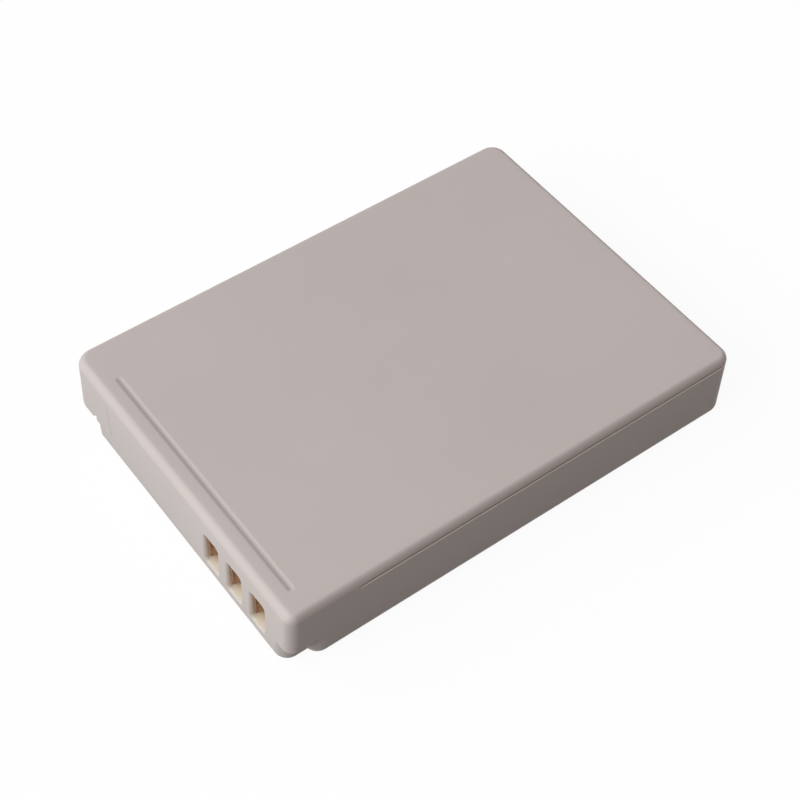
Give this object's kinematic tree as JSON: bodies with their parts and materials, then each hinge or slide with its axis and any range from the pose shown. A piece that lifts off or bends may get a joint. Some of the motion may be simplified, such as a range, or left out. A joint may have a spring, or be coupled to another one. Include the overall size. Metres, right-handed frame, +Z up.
{
  "type": "medical device battery",
  "caption": "Flat rectangular rechargeable lithium-ion pack in a two-shell plastic housing, with recessed end contacts and keyed corners, that slides into a hand-held device.",
  "frame": {"origin": "middle of the flat underside, on the surface that the pack rests on", "axes": "+Y from the contact end to the far end, +X to the long side nearest the contact windows, +Z up through the cover"},
  "size_m": [0.032, 0.0448, 0.0074],
  "materials": {
    "housing": "fine satin moulded plastic, warm lilac grey",
    "contact_gold": "gold plated, lightly worn",
    "circuit_board": "green solder mask",
    "moulded_package": "black moulding compound",
    "chip_resistor": "glazed black chip",
    "chip_ceramic": "fired tan ceramic",
    "nickel_strip": "rolled nickel",
    "spacer_plastic": "moulded black plastic",
    "cell_aluminium": "drawn aluminium",
    "seal_plastic": "pale moulded gasket",
    "fish_paper": "pressed fibre sheet",
    "adhesive_tape": "thin double-sided tape",
    "foam": "closed-cell foam"
  },
  "bodies": {
    "root": {"case": "housing", "cover": "housing", "contact_positive": "contact_gold", "contact_sense": "contact_gold", "contact_negative": "contact_gold", "protection_board": "circuit_board", "protection_ic": "moulded_package", "switch_mosfet": "moulded_package", "filter_resistors": "chip_resistor", "filter_capacitor": "chip_ceramic", "thermistor": "chip_ceramic", "thermal_breaker": "moulded_package", "negative_tab": "nickel_strip", "breaker_tab": "nickel_strip", "positive_tab": "nickel_strip", "spacer_bar": "spacer_plastic", "cell_can": "cell_aluminium", "cell_terminal_seal": "seal_plastic", "cell_terminal_stud": "nickel_strip", "cell_fill_plug": "cell_aluminium", "cell_end_insulator": "fish_paper", "case_tape": "adhesive_tape", "cover_tape": "adhesive_tape", "end_pad": "foam"}
  },
  "joints": []
}
